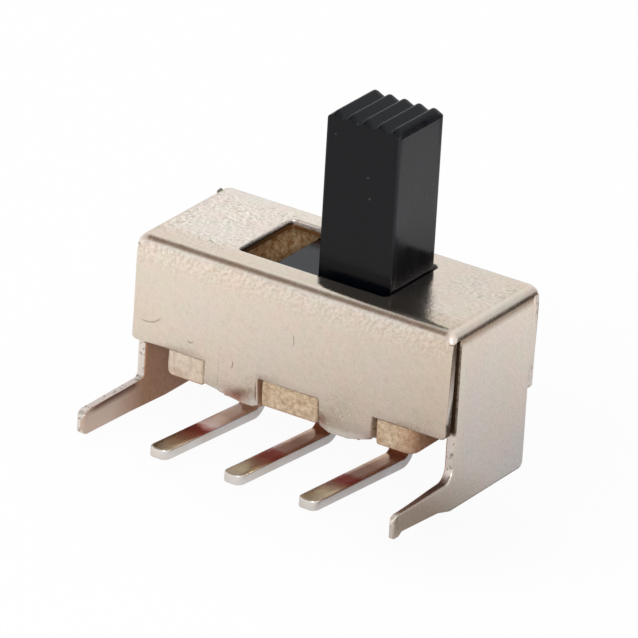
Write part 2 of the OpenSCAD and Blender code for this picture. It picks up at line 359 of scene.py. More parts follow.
def painted_relief(tree, place, scale, detail, shift):
    """Painted light and shade of bumps: a noise pattern minus the same pattern a little further on,
    so the side of each bump that faces the shift is painted dark and the other one bright, from 0
    to 1, and 0.5 is level."""
    here = add(tree, "TexNoise", {"Vector": place, "Scale": scale, "Detail": detail})
    there = add(tree, "VectorMath", {0: place, 1: Vector(shift)}, operation="ADD")
    there = add(tree, "TexNoise", {"Vector": there, "Scale": scale, "Detail": detail})
    slope = add(tree, "Math", {0: here, 1: there}, operation="SUBTRACT")
    return add(tree, "MapRange", {"Value": slope, "From Min": -0.14, "From Max": 0.14})


# %% Sheared edges
def sheared_steel(tree, place, sheared, outside, above):
    """The tone of sheared edges: light metal with a few torn dots, reddish along the right leg, and
    a dark brown painted shade down in the seams and low in the slot's end."""
    x, y, z = add(tree, "SeparateXYZ", {0: place}).outputs
    from_x = add(tree, "Math", {0: x}, operation="ABSOLUTE")
    torn = layered(tree, "#a3958a", [("#ece3db", 1, patches(tree, place, 11.0, 2.0, 0.34, 0.44)),
                   ("#7d5648", 0.85, (y, -1.45, -1.75), (y, -3.75, -3.5), (x, -1.0, 1.0, 0.25),
                    (z, 1.05, 0.80))])
    # painted shade: dark brown in the seams and low in the slot's end
    at_seam = add(tree, "Math", {0: from_x, 1: case_x - 0.26}, operation="GREATER_THAN")
    seam = region(tree, 1, at_seam, outside, above)
    in_slot = add(tree, "Math", {0: z, 1: case_h - sheet - 0.01}, operation="GREATER_THAN")
    slot_end = add(tree, "Math", {0: x, 1: slot_x}, operation="ADD")
    slot_end = add(tree, "Math", {0: slot_end}, operation="ABSOLUTE")
    slot_end = region(tree, 1, (slot_end, 0.10, 0.05), (z, case_h - 0.07, case_h - 0.10), in_slot)
    rim = add(tree, "Math", {0: from_x, 1: slot_x + 0.1}, operation="LESS_THAN")
    golden = region(tree, 1, (z, case_h - 0.13, case_h - 0.15), rim, in_slot)
    for other in (slot_end, golden):
        seam = add(tree, "Math", {0: seam, 1: other}, operation="MAXIMUM")
    brown = layered(tree, "#6a5440", [("#c08f5e", 1, golden)])
    lump = add(tree, "Math", {0: sheared, 1: 1.5}, operation="GREATER_THAN")
    return layered(tree, torn, [(brown, 1, seam), ("#8b857e", 1, lump)])


# %% Nickel-plated steel
def nickel_plated_steel():
    """Satin nickel: clear on the flat top, rough where sheared, leathery at the top's left with
    painted light and shade on its bumps, painted glints along the front fold, and painted shade in
    the seams, on the end folds, on the front flap and at the feet.
    """
    made, tree, place = new_material("nickel plated steel")
    x, y, z = add(tree, "SeparateXYZ", {0: place}).outputs
    from_x, from_y = (add(tree, "Math", {0: axis}, operation="ABSOLUTE") for axis in (x, y))
    sheared = add(tree, "Attribute", attribute_name="edge").outputs["Fac"]
    warm = layered(tree, "#ece3da", [("#f0e2d5", 1, patches(tree, place, 0.45, 3.0, 0.35, 0.65))])
    # faint pink and green changes, half a millimetre wide
    mottle = layered(tree, "#fffbfa", [("#fbfdf8", 1, patches(tree, place, 2.2, 3.0, 0.4, 0.6))])
    tone = layered(tree, warm, [(mottle, 1)], blend_type="MULTIPLY")
    grain = add(tree, "TexNoise", {"Vector": place, "Scale": 7.0, "Detail": 4.0,
                "Roughness": 0.65})
    flat_top = region(tree, 1, (z, case_h - 0.03, case_h - 0.004))
    # leathery relief of 0.1 to 0.2 mm, with painted light and shade on the sides of its bumps:
    # strong on the left third of the top face and weaker at its right. Fine painted glints lie
    # along the front fold, where the tool rubbed the plating
    leather = add(tree, "Math", {0: region(tree, 0.13, (x, -1.2, -2.6)),
                  1: region(tree, 0.07, (x, 1.9, 3.0))}, operation="ADD")
    leather = region(tree, leather, patches(tree, place, 1.1, 2.0, 0.36, 0.62, 0.25),
                     (from_y, 1.5, 1.15, 0.3))
    leather = add(tree, "Math", {0: leather, 1: flat_top, 2: 0.02}, operation="MULTIPLY_ADD")
    painted_bump_shade = painted_relief(tree, place, 9.0, 3.0, (0.03, 0.03, 0.02))
    painted_glints = painted_relief(tree, place, 10.0, 2.0, (0.025, 0.015, -0.025))
    # the curl and the ticks on the front flap
    flap_only = add(tree, "Math", {0: z, 1: 0.9}, operation="GREATER_THAN")
    front = region(tree, 1, (y, -case_y + 0.06, -case_y + 0.02), flap_only)
    scratches = 0.0
    for mark in (((-3.71, 2.36), (-3.86, 2.86), 0.34, 0.030),
                 ((0.09, 3.03), (-0.45, 3.0), 0.17, 0.024),
                 ((-2.66, 2.15), (-2.66, 2.22), 0.10, 0.026),
                 ((-1.50, 1.95), (-1.9, 2.0), 0.12, 0.022)):
        scratches = add(tree, "Math", {0: scratch(tree, place, *mark), 1: scratches},
                        operation="MAXIMUM")
    scratches = region(tree, scratches, front)
    lit = {"blend_type": "LINEAR_LIGHT", "clamp_result": True}
    tone = layered(tree, tone, [("#6e5d4c", 0.5, scratches)])
    tone = layered(tree, tone, [(painted_bump_shade, 1, leather)], **lit)
    # painted shade in the pits of the leathery patches
    pit_shade = patches(tree, place, 8.0, 1.0, 0.63, 0.70)
    tone = layered(tree, tone, [("#8d8270", 3.5, pit_shade, leather)])
    # painted glints and shade in a band along the front fold
    glint_band = (z, case_h - 0.85, case_h - 0.35)
    tone = layered(tree, tone, [(painted_glints, 0.10, glint_band, front)], **lit)
    # the top is a little greyer towards its right and along its front. Painted shade makes the
    # front flap darker towards its lower right corner
    flap_painted_shade = add(tree, "Math", {0: region(tree, 0.45, (z, case_h, 1.4)),
               1: region(tree, 0.55, (x, -3.0, 4.0))}, operation="ADD")
    tone = layered(tree, tone, [("#f0ede9", 1, (x, -1.5, 2.5), flat_top),
                   ("#f3f0ea", 1, (y, -0.9, -1.3), flat_top), ("#dcd7d1", flap_painted_shade, front)],
                   blend_type="MULTIPLY")
    outside = add(tree, "Math", {0: y, 1: -plate_y + 0.05}, operation="LESS_THAN")
    above = region(tree, 1, (z, flap_z, flap_z + 0.1))
    torn = sheared_steel(tree, place, sheared, outside, above)
    # painted shade in the upright seams spreads, dark brown and speckled, over the rounded edges
    # beside them, one of them askew
    skewed = add(tree, "Math", {0: z, 1: -skew, 2: x}, operation="MULTIPLY_ADD")
    skewed = add(tree, "Math", {0: skewed, 1: skew * fold_z}, operation="ADD")
    by_seam = add(tree, "Math", {0: from_x, 1: skewed}, operation="MAXIMUM")
    tone = layered(tree, tone, [(torn, 1, sheared),
                   ("#4a3a2c", 0.9, (by_seam, flap_x - 0.022, flap_x - 0.010), outside, above,
                    (z, fold_z - 0.02, fold_z - 0.12),
                    patches(tree, place, 14.0, 3.0, 0.40, 0.60, 0.75))])
    # a painted dark reflection lies in a band along the end folds, just above the end plates
    pressed = bands(tree, z, [(fold_z - 0.15, "#ffffff"), (fold_z + 0.01, "#bdb2a9"),
                    (fold_z + 0.08, "#bdb2a9"), (fold_z + 0.17, "#ffffff")])
    tone = layered(tree, tone, [(pressed, 1, (from_x, case_x - 0.20, case_x - 0.12),
                   (from_y, 1.60, 1.45))], blend_type="MULTIPLY")
    # painted contact shadow darkens the bottom edge of a foot, where it stands
    tone = layered(tree, tone, [("#6b5d54", 0.75, (z, 0.06, 0.02))])
    rough, clear = (add(tree, "MapRange", {"Value": grain, "To Min": low, "To Max": high})
                    for low, high in ((0.20, 0.36), (0.12, 0.28)))
    # the end folds are drawn hardest, so they are the roughest of the smooth places
    drawn_end = region(tree, 0.8, (from_x, case_x - fold_r, case_x - fold_r + 0.06),
                       (z, fold_z + 0.14, fold_z + 0.17))
    for share, over in ((flat_top, clear), (drawn_end, 0.55), (sheared, 0.48)):
        rough = add(tree, "Mix", {0: share, 2: rough, 3: over})
    # slow waves of the drawn sheet under the fine grain and the marks
    waves = add(tree, "TexNoise", {"Vector": place, "Scale": 0.9, "Detail": 2.0})
    waves = add(tree, "Bump", {"Height": waves, "Strength": 1.0, "Distance": 0.012 * MM})
    peel = add(tree, "Math", {0: leather, 1: 12.0, 2: 1.0}, operation="MULTIPLY_ADD")
    depth = add(tree, "Math", {0: grain, 1: peel}, operation="MULTIPLY")
    depth = add(tree, "Math", {0: scratches, 1: -1.6, 2: depth}, operation="MULTIPLY_ADD")
    bump = add(tree, "Bump", {"Height": depth, "Strength": 0.4, "Distance": 0.009 * MM,
               "Normal": waves})
    # a thin haze on the top, where most dust settles
    metal = add(tree, "MapRange", {"Value": flat_top, "To Min": 1.0, "To Max": 0.97})
    return finish_material(made, tone, rough, Metallic=metal, Normal=bump)


nickel = nickel_plated_steel()

# %% [markdown]
# The inside of the case isn't tumbled, so it keeps a duller plating: golden brown with bright
# specks and upright streaks of 0.1 mm high up, and plain brown lower down. It is a second finish on
# the same sheet, given to the faces that look inwards. Along the anchor legs it clears to nickel.
# %% Tarnished inside
def tarnished_nickel():
    """Dull golden brown plating with bright specks, which clears to nickel along the legs."""
    made, tree, place = new_material("tarnished nickel inside")
    _, y, z = add(tree, "SeparateXYZ", {0: place}).outputs
    streaks = add(tree, "Mapping", {"Vector": place, "Scale": Vector((1.1, 1.1, 0.9))})
    specks = add(tree, "TexNoise", {"Vector": streaks, "Scale": 9.0, "Detail": 4.0,
                 "Roughness": 0.75})
    high = layered(tree, "#c08a56", [("#ffe3b4", 1, (specks, 0.40, 0.64))])
    low = layered(tree, "#a87d60", [("#b98e6e", 1, (specks, 0.40, 0.64))])
    clear = region(tree, 1, (y, -1.5, -2.8))
    # the last and deepest brown is a line along the upper edge of a leg
    tone = layered(tree, low, [(high, 1, (z, 1.8, 2.4)), ("#cfb9a9", 1, clear),
                   ("#6b4537", 0.8, (z, 0.56, 0.68), (y, -1.7, -1.9), (y, -3.8, -3.4))])
    metal = add(tree, "MapRange", {"Value": clear, "To Min": 0.2, "To Max": 1.0})
    rough = add(tree, "MapRange", {"Value": clear, "To Min": 0.5, "To Max": 0.28})
    bump = add(tree, "Bump", {"Height": specks, "Strength": 0.5, "Distance": 0.02 * MM})
    return finish_material(made, tone, rough, Metallic=metal, Normal=bump)


tarnished = tarnished_nickel()
print("finishes:", nickel.name, "and", tarnished.name)


# %% [markdown]
# ## Meshes from grids
# Most surfaces here are grids of points worked out with arrays: a closed loop of points, carried
# from one station to the next, makes a tube, and a flat face closes each of its ends. Faces between
# neighbouring points follow from the numbering alone. Two small curves shape most of them: an even
# ramp between two places, and a quarter circle that draws an edge in.
# %% Tubes of points
def ramp(value, begins, full):
    """0 where a value begins, 1 where it is full, and even in between."""
    return np.clip((value - begins) / (full - begins), 0, 1)


def drawn_in(past, radius):
    """How far a quarter circle has drawn an edge in: 0 where past is 0, the radius where it's 1."""
    return radius * (1 - np.sqrt(1 - past ** 2))


def across_outline(outline):
    """Unit directions at right angles to a closed anticlockwise outline, pointing inwards."""
    along = np.roll(outline, -1, axis=0) - np.roll(outline, 1, axis=0)
    along /= np.linalg.norm(along, axis=1, keepdims=True)
    return np.column_stack((-along[:, 1], along[:, 0]))


def tube(loops, ring=False, edge=0.0):
    """Points, faces and edge wear of a tube. loops has a row for each station, each a closed loop.
    With ring the last station joins the first, and otherwise a flat face closes both ends."""
    rows, columns = loops.shape[:2]
    i, j = np.meshgrid(np.arange(rows if ring else rows - 1), np.arange(columns), indexing="ij")
    next_i, next_j = (i + 1) % rows, (j + 1) % columns
    quads = np.stack((i * columns + j, next_i * columns + j, next_i * columns + next_j,
                      i * columns + next_j), -1).reshape(-1, 4).tolist()
    ends = [] if ring else [list(range(columns)), list(range((rows - 1) * columns, rows * columns))]
    return loops.reshape(-1, 3), quads + ends, np.broadcast_to(edge, (rows, columns)).ravel()


# %% A piece from its tubes
def make_piece(name, shells, finishes):
    """One object from several closed shells, in metres, with outward faces. An attribute named
    edge keeps how much each point is part of a sheared edge, from 0 to 1, and 2 on a torn lump."""
    points, groups, wear = zip(*shells)
    starts = np.cumsum([0] + [len(own) for own in points])
    faces = [[start + k for k in face] for start, own in zip(starts, groups) for face in own]
    made = mesh_object(name, (np.concatenate(points) * MM).tolist(), faces)
    mesh = made.data
    sheared = mesh.attributes.new("edge", "FLOAT", "POINT")
    sheared.data.foreach_set("value", np.concatenate(wear).astype(np.float32))
    work = bmesh.new()
    work.from_mesh(mesh)
    bmesh.ops.remove_doubles(work, verts=work.verts, dist=1e-8)
    bmesh.ops.dissolve_degenerate(work, edges=work.edges, dist=1e-8)
    bmesh.ops.recalc_face_normals(work, faces=work.faces)
    work.to_mesh(mesh)
    work.free()
    for finish in finishes:
        mesh.materials.append(finish)
    return made


# %% Placing a finished piece
def place_piece(piece, body, slot, *nodes):
    """Shades a finished piece, lets it ride on a body and stand for the CAD nodes it dresses.
    Faces with many corners are flat ends. Corners sharper than the crease stay sharp, and weighted
    normals keep flat faces flat."""
    mesh = piece.data
    crease = radians(35)
    corners = np.zeros(len(mesh.polygons), dtype=np.int32)
    mesh.polygons.foreach_get("loop_total", corners)
    mesh.polygons.foreach_set("use_smooth", corners <= 4)
    mesh.set_sharp_from_angle(angle=crease)
    flat = piece.modifiers.new("flat faces stay flat", "WEIGHTED_NORMAL")
    flat.keep_sharp = True
    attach(piece, body)
    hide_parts(*nodes)
    print(f"{piece.name}: {len(corners)} faces, stands for {', '.join(nodes)}")


# %% [markdown]
# ## The folded top
# The top face, the slot and the four folds are drawn from one sheet. The surface is a ring of
# stations round the case. Each station knows its corner and its outward direction, so a rounded
# rectangle of any size and corner radius is one line of arithmetic. The section at a station goes
# from the slot's edge over the fold, round the lower edge and back inside. At the corners the
# section ends a little higher, because the seams between flaps and plates start there.
# %% Stations round a rounded rectangle
def stations(side_x, side_y, per_corner):
    """Corner signs and outward directions round a rounded rectangle, side points included."""
    signs = np.array([(1, 1), (-1, 1), (-1, -1), (1, -1)])
    corner, outward = [], []
    for k in range(4):
        turn = np.linspace(k, k + 1, per_corner) * pi / 2
        outward.append(np.column_stack((np.cos(turn), np.sin(turn))))
        corner.append(np.tile(signs[k], (per_corner, 1)))
        count = side_y if k % 2 else side_x
        along = np.linspace(1, -1, count + 2)[1:-1, None]
        corner.append((signs[k] * (1 + along) + signs[(k + 1) % 4] * (1 - along)) / 2)
        outward.append(np.tile(outward[-1][-1], (count, 1)))
    return np.concatenate(corner), np.concatenate(outward)


# %% Section of the folded top
def folded_top():
    """The top with its folds: half sizes, corner radius and height by station and section."""
    corner, outward = stations(40, 40, 13)
    wide = lambda values: np.tile(values, (len(corner), 1))
    # the corner radius on the top, and how much the fold adds to it
    top_r, grown_r = 0.06, 0.12
    low_r = top_r + grown_r
    low = np.abs(corner) * (np.array((case_x, case_y)) - low_r) + np.abs(outward) * low_r
    seam_start = np.array((flap_x, plate_y)) - 0.03
    seam = ramp(low, seam_start, seam_start + 0.05).prod(axis=1)
    angle = (pi / 2 - seam * 0.27)[:, None] * np.linspace(0, 1, 13)
    # the sheared rim of the slot, rolled over at its top
    rolled = 0.06
    rim = np.linspace(0, pi / 2, 4)
    rim_out = rolled * (1 - np.cos(rim))
    rim_up = case_h - rolled * (1 - np.sin(rim))
    flat = np.linspace(0, 1, 7)[1:-1]
    inner = np.linspace(pi / 2, 0, 5)
    inside = fold_r - sheet
    halves = [np.hstack((wide([slot]), wide(slot + rim_out),
                         wide(slot + rolled + (size - slot - rolled) * flat),
                         size + fold_r * np.sin(angle), wide(size + inside * np.sin(inner))))
              for slot, size in ((slot_x, case_x - fold_r), (slot_y, case_y - fold_r))]
    radius = np.hstack((wide([slot_r]), wide(slot_r + rim_out),
                        wide(slot_r + (top_r - slot_r) * flat), top_r + grown_r * np.sin(angle),
                        wide(0.02 + 0.03 * np.sin(inner))))
    height = np.hstack((wide([case_h - sheet]), wide(rim_up), wide(np.full(len(flat), case_h)),
                        fold_z + fold_r * np.cos(angle)))
    inner_height = np.maximum(wide(fold_z + inside * np.cos(inner)),
                              np.minimum(height[:, -1:], case_h - sheet - 0.0005))
    height = np.hstack((height, inner_height))
    x, y = (corner[:, k:k + 1] * (half - radius) + outward[:, k:k + 1] * radius
            for k, half in enumerate(halves))
    wear = np.zeros(height.shape[1])
    wear[:5] = np.concatenate(([1.0], np.cos(rim)))
    return tube(np.stack((x, y, height), -1), ring=True, edge=wear)


# %% [markdown]
# ## Flat panels with shaped edges
# A flap or an end plate is a strip between two edges, each given as a line of corners with radii.
# Points on both edges with the same station number are joined across the sheet. The section at a
# station rounds both edges of the sheet, so light catches them as on the pressed part. A helper
# rounds the corners of a line, and another samples both edges at the same stations.
# %% Edges of a panel
def rounded(corners):
    """Rounds the inner corners of an open line. A row is x, z, radius and station number. Each arc
    is a rational curve with weight sin(half the corner's angle), which makes it a true circle."""
    rows = np.array(corners, float)
    before, here, after = rows[:-2], rows[1:-1], rows[2:]
    point = here[:, None, :2]
    back, ahead = before[:, :2] - here[:, :2], after[:, :2] - here[:, :2]
    back_long, ahead_long = (np.linalg.norm(v, axis=1, keepdims=True) for v in (back, ahead))
    back, ahead = back / back_long, ahead / ahead_long
    half = np.arccos(np.clip((back * ahead).sum(1, keepdims=True), -1, 1)) / 2
    reach = here[:, 2:3] / np.tan(half)
    weight = np.sin(half)[:, None]
    t = np.linspace(0, 1, 7)[None, :, None]
    first, last = point + (back * reach)[:, None], point + (ahead * reach)[:, None]
    top = first * (1 - t) ** 2 + point * 2 * t * (1 - t) * weight + last * t ** 2
    arcs = top / ((1 - t) ** 2 + 2 * t * (1 - t) * weight + t ** 2)
    share_back = (reach / back_long * (here[:, 3:] - before[:, 3:]))[:, None]
    share_ahead = (reach / ahead_long * (after[:, 3:] - here[:, 3:]))[:, None]
    number = (here[:, None, 3:] + share_back * np.minimum(2 * t - 1, 0)
              + share_ahead * np.maximum(2 * t - 1, 0))
    inner = np.concatenate((arcs, number), axis=2).reshape(-1, 3)
    return np.concatenate((rows[:1, [0, 1, 3]], inner, rows[-1:, [0, 1, 3]]))


def sampled(near, far, step, more=()):
    """Both edges at the same stations: all their own ones, more of them, and one at each step."""
    numbers = np.union1d(np.union1d(near[:, 2], far[:, 2]), more)
    numbers = np.union1d(numbers, np.arange(numbers[0], numbers[-1], step))
    numbers = numbers[np.concatenate(([True], np.diff(numbers) > 1e-5))]
    return [np.column_stack([np.interp(numbers, line[:, 2], line[:, k]) for k in (0, 1)])
            for line in (near, far)]


def inward(line, other):
    """Unit directions at right angles to an edge, pointing into the panel."""
    along = np.gradient(line, axis=0)
    along /= np.maximum(np.linalg.norm(along, axis=1, keepdims=True), 1e-9)
    across = np.column_stack((-along[:, 1], along[:, 0]))
    return across * np.sign((across * (other - line)).sum())


# %% Panel
def panel(near, far, thickness, edge_r, rows):
    """Loops of a panel: (across, up, depth), and their edge wear. Corners are quarter circles."""
    turn = np.linspace(0, pi / 2, 5)
    inset, level = 1 - np.cos(turn), 1 - np.sin(turn)
    share = np.arange(1, rows) / rows
    none, five = np.zeros(rows - 1), np.zeros(5)
    weight = np.concatenate((five, share, np.ones(10), share[::-1], five))
    inset_near = edge_r * np.concatenate((inset, none + 1, five, five, none + 1, inset[::-1]))
    inset_far = edge_r * np.concatenate((five, none + 1, inset[::-1], inset, none + 1, five))
    depth = edge_r * np.concatenate((level, none, level[::-1], -level, none, -level[::-1]))
    depth = depth + thickness * np.repeat((0, 1), 9 + rows)
    near_side = near[:, None] + inward(near, far)[:, None] * inset_near[None, :, None]
    far_side = far[:, None] + inward(far, near)[:, None] * inset_far[None, :, None]
    flat = near_side * (1 - weight)[None, :, None] + far_side * weight[None, :, None]
    wear = np.concatenate((level, none, level[::-1], level, none, level[::-1]))
    return np.concatenate((flat, np.tile(depth, (len(near), 1))[..., None]), axis=2), wear


# %% [markdown]
# ## The long flaps
# Each long flap hangs from its fold and ends in two crimp tabs. A tab is lower in its inner part,
# where it was pressed in under the board, and its outer corner stays a little higher. The far edge
# of the panel is this outline, and the near edge is the fold's line. The right end is sheared a
# little askew, so the seam beside it gets wider downwards, and the left end springs out slightly.
# %% Long flaps
def flap_edges():
    """The fold's line, and the outline with its tabs, as corners of x, z, radius and station."""
    top = fold_z + edge
    outline = [(-flap_x, flap_z + 0.3, 0, -flap_x), (-flap_x, flap_z, 0.15, -flap_x + 0.04),
               (-tab_out, flap_z, 0.03, -tab_out),
               (-tab_out - 0.02, 1.27, 0.05, -tab_out + 0.15), (-1.93, 1.20, 0.02, -1.95),
               (-1.88, 1.165, 0.02, -1.90), (-1.28, 1.07, 0.15, -1.30), (-1.00, 1.08, 0.10, -1.05),
               (-tab_in - 0.01, 1.16, 0.05, -tab_in - 0.15), (-tab_in, flap_z, 0.04, -tab_in),
               (tab_in, flap_z, 0.04, tab_in), (tab_in + 0.01, 1.166, 0.05, tab_in + 0.15),
               (1.07, 1.063, 0.10, 1.12), (1.58, 1.067, 0.15, 1.60), (1.98, 1.17, 0.10, 1.98),
               (tab_out - 0.01, 1.262, 0.05, tab_out - 0.12), (tab_out, flap_z, 0.03, tab_out),
               (flap_x, flap_z, 0.15, flap_x - 0.04), (flap_x, flap_z + 0.3, 0, flap_x)]
    near = np.array([(-flap_x, top, -flap_x), (flap_x, top, flap_x)])
    round_end = flap_x - flap_end_r + flap_end_r * np.sin(np.linspace(0, pi / 2, 7))
    return sampled(near, rounded(outline), 0.25, np.concatenate((-round_end, round_end)))


def flap_shape(loops, side):
    """Rounds the ends across the sheet, shears the right end askew, bends the tabs in, and springs
    the front's left end out."""
    x, z = loops[..., 0], loops[..., 1]
    past = ramp(np.abs(x), flap_x - flap_end_r, flap_x)
    inset = drawn_in(past, flap_end_r)
    depth = np.clip(loops[..., 2], inset, sheet - inset)
    skewed_down = 2.3
    down = ramp(z, fold_z, fold_z - skewed_down)
    askew = (skewed_down * skew * down - 0.004) * ramp(x, 3.2, 4.24) ** 2
    near_fold = ramp(z, fold_z - 0.35, fold_z) ** 2
    askew = askew + 0.02 * near_fold * ramp(np.abs(x), flap_x - 0.3, flap_x) * np.sign(x)
    below = ramp(z, board_z + 0.16, board_z - 0.04)
    pressed = 0.10 * below ** 2 * (3 - 2 * below)
    spring = 0.04 * ramp(x, -2.6, -4.2) ** 2 * down
    end_wear = ramp(past, 0.9, 1)
    return x - askew, z - 0.3 * pressed, depth + pressed - spring * (side < 0), end_wear


# %% A flap and its lips
def long_flap(side):
    """One long flap, at -Y for side -1 and at +Y for side 1, and the lips under its tabs."""
    near, far = flap_edges()
    loops, wear = panel(near, far, sheet, edge, rows=14)
    x, z, depth, end_wear = flap_shape(loops, side)
    wear = np.maximum(wear, end_wear)
    shells = [tube(np.stack((x, side * (case_y - depth), z), -1), edge=wear)]
    for first in (-tab_in - lip_long, tab_in):
        shells.append(lip(first, first + lip_long, side))
    return shells


def lip(first, last, side):
    """The part of a tab that lies under the board: a thin bar with round edges along X."""
    start, reach, thin, round_r = 0.20, 0.50, 0.12, 0.05
    under = board_z - 0.15
    corners = np.array([(start, under), (reach, under), (reach, under + thin),
                        (start, under + thin)])
    centres = corners + np.array([(1, 1), (-1, 1), (-1, -1), (1, -1)]) * round_r
    starts = np.array([pi, 1.5 * pi, 0, 0.5 * pi])
    angles = starts[:, None] + np.linspace(0, pi / 2, 4)
    arcs = round_r * np.stack((np.cos(angles), np.sin(angles)), -1)
    section = (centres[:, None] + arcs).reshape(-1, 2)
    middle = section.mean(axis=0)
    along = np.array([first, first + 0.03, last - 0.03, last])
    scale = np.array([0.6, 1, 1, 0.6])
    loops = middle + (section - middle) * scale[:, None, None]
    x = np.tile(along[:, None], (1, len(section)))
    return tube(np.stack((x, side * (case_y - loops[..., 0]), loops[..., 1]), -1))


# %% [markdown]
# ## The end plates and their legs
# An end plate is cut with its anchor leg in the same plane. Its near edge runs from the leg's tip
# along the top of the leg, round the fillet and up the plate, and its far edge runs along the
# underside, the foot and the back. The leg is coined a little thinner towards its tip.
# %% End plates
def plate_edges(side):
    """Front and upper edge, and lower and back edge, as corners of y, z, radius and station. The
    right leg has a step behind its toe, and the left one's underside is one straight line."""
    top, tip, leg_top = fold_z + edge, -leg_tip, 0.74
    fillet = 0.30 if side > 0 else 0.13
    near = rounded([(tip, 0.45, 0, 0), (tip, leg_top, 0.20, 0.12), (-plate_y, leg_top, fillet, 3.0),
                    (-plate_y, top, 0.03, 6.6), (0, top, 0, 8.0)])
    if side > 0:
        under = [(tip, 0.18, 0.13, 0.1), (tip + 0.28, 0.18, 0.10, 0.25),
                 (tip + 0.40, 0.26, 0.12, 0.4), (-plate_y - 0.5, 0.14, 0.4, 2.2),
                 (-plate_y, 0.0, 0.3, 2.7)]
    else:
        under = [(tip, 0.15, 0.20, 0.1), (-plate_y - 0.5, 0.085, 0.4, 2.2), (-0.6, 0.0, 0.5, 3.1)]
    back = [(plate_y, 0.0, 0.16, 3.5), (plate_y, top, 0.03, 6.9), (0, top, 0, 8.0)]
    return sampled(near, rounded([(tip, 0.45, 0, 0)] + under + back), 0.2)


def end_plate(side):
    """One end plate with its leg, at -X for side -1 and at +X for side 1."""
    near, far = plate_edges(side)
    loops, wear = panel(near, far, sheet, edge, rows=10)
    y, z, depth = loops[..., 0], loops[..., 1], loops[..., 2]
    along_leg = ramp(y, -plate_y + 0.1, -leg_tip + 0.2)
    coined = (0.42 if side > 0 else 0.05) * along_leg ** 2 * (3 - 2 * along_leg)
    thick = sheet * (1 - coined)
    tip_inset = drawn_in(ramp(y, -leg_tip + 0.10, -leg_tip), 0.09)
    inset = np.minimum(tip_inset, thick * 0.42)
    depth = np.clip(depth * (1 - coined), inset, thick - inset)
    return tube(np.stack((side * (case_x - depth), y, z), -1), edge=wear)


# %% A torn lump, and the faces inside
def burr(middle, size):
    """A small lump of torn metal: an egg whose radius waves a little with both angles."""
    up, turn = np.meshgrid(np.linspace(0.15, pi - 0.15, 9), np.arange(14) * 2 * pi / 14,
                           indexing="ij")
    radius = 1 + 0.18 * np.sin(3 * turn + 1) * np.sin(2 * up)
    ball = np.stack((np.sin(up) * np.cos(turn), np.sin(up) * np.sin(turn), np.cos(up)), -1)
    return tube(np.array(middle) + np.array(size) * ball * radius[..., None], edge=2.0)


def inner_faces(piece):
    """Gives the second finish to the faces inside the case, which look inwards."""
    wall_x, wall_y, ceiling = case_x - sheet * 0.6, case_y - sheet * 0.6, case_h - sheet + 0.01
    for face in piece.data.polygons:
        centre = np.array(face.center) / MM
        on_leg = abs(centre[0]) > case_x - sheet - 0.02 and centre[2] < flap_z - 0.05
        between = abs(centre[1]) < wall_y or on_leg
        inside = abs(centre[0]) < wall_x and between and centre[2] < ceiling
        face.material_index = int(inside)


case_shells = [folded_top(), end_plate(-1), end_plate(1)] + long_flap(-1) + long_flap(1)
case_shells.append(burr((-4.14, 1.37, case_h - 0.06), (0.05, 0.11, 0.065)))
case_piece = make_piece("folded_case", case_shells, [nickel, tarnished])
inner_faces(case_piece)
place_piece(case_piece, "housing", "case_nickel", "metal_case")

# %% [markdown]
# ## Fibre board
# The terminal board is punched from phenolic paper or cloth laminate: tan, matt and dry, with
# mottled fibres of about 0.1 mm and darker resin between them. Punching leaves rough edges, which
# get small waves in the mesh as well as a rough surface.
# %% Phenolic laminate
def phenolic_laminate():
    """Sandy laminate mottled with fibres and darker resin, redder underneath, paler at its left
    from painted light and redder and darker at its right from painted shade.
    """
    made, tree, place = new_material("punched phenolic laminate")
    x, _, z = add(tree, "SeparateXYZ", {0: place}).outputs
    fibres = add(tree, "TexNoise", {"Vector": place, "Scale": 8.0, "Detail": 6.0,
                 "Roughness": 0.78, "Distortion": 0.4})
    # painted light pales the left end and painted shade reddens and darkens the right end
    tone = layered(tree, "#b49674", [("#f1dbbc", 1, (fibres, 0.36, 0.64)),
                   ("#fff6ea", 0.38, (x, -1.6, -2.6)),
                   ("#a4784f", 0.30, patches(tree, place, 3.2, 3.0, 0.52, 0.70)),
                   ("#a85c34", 0.68, (x, 2.85, 3.5)),
                   ("#c08060", 1, (z, board_z + 0.04, board_z + 0.008))])
    bump = add(tree, "Bump", {"Height": fibres, "Strength": 0.9, "Distance": 0.06 * MM})
    return finish_material(made, tone, 0.75, IOR=1.5, Normal=bump)


def rough_edge(points, height):
    """Small sums of waves that push a punched edge in, by place and height, at most 0.02 mm."""
    x, y = points[:, :1], points[:, 1:]
    z = height[None, :]
    waves = (np.sin(9.1 * x + 4.3 * z) + np.sin(17.3 * x - 11.0 * z + 1.7)
             + np.sin(13.7 * y + 9.0 * z))
    return 0.006 * (3 + waves) / 2


# %% Terminal board
def board_outline():
    """The board's outline, anticlockwise: lugs between the notches that the tabs fill."""
    half_x, half_y, notch_y = board_high[0], board_high[1], board_high[1] - 0.22
    play, slack = 0.03, 0.09
    lug_r, end_r, corner = 0.06, 0.26, 0.05
    front = [(-half_x, -half_y, end_r), (-tab_out - play, -half_y, lug_r),
             (-tab_out - play, -notch_y, corner), (-tab_in + slack, -notch_y, corner),
             (-tab_in + slack, -half_y, lug_r), (tab_in - play, -half_y, lug_r),
             (tab_in - play, -notch_y, corner), (tab_out + slack, -notch_y, corner),
             (tab_out + slack, -half_y, lug_r), (half_x, -half_y, end_r)]
    back = [(x, -y, r) for x, y, r in front[::-1]]
    line = [(-half_x, 0.05, 0)] + front + back + [(-half_x, 0.1, 0)]
    return rounded([(x, y, r, k) for k, (x, y, r) in enumerate(line)])[:, :2]


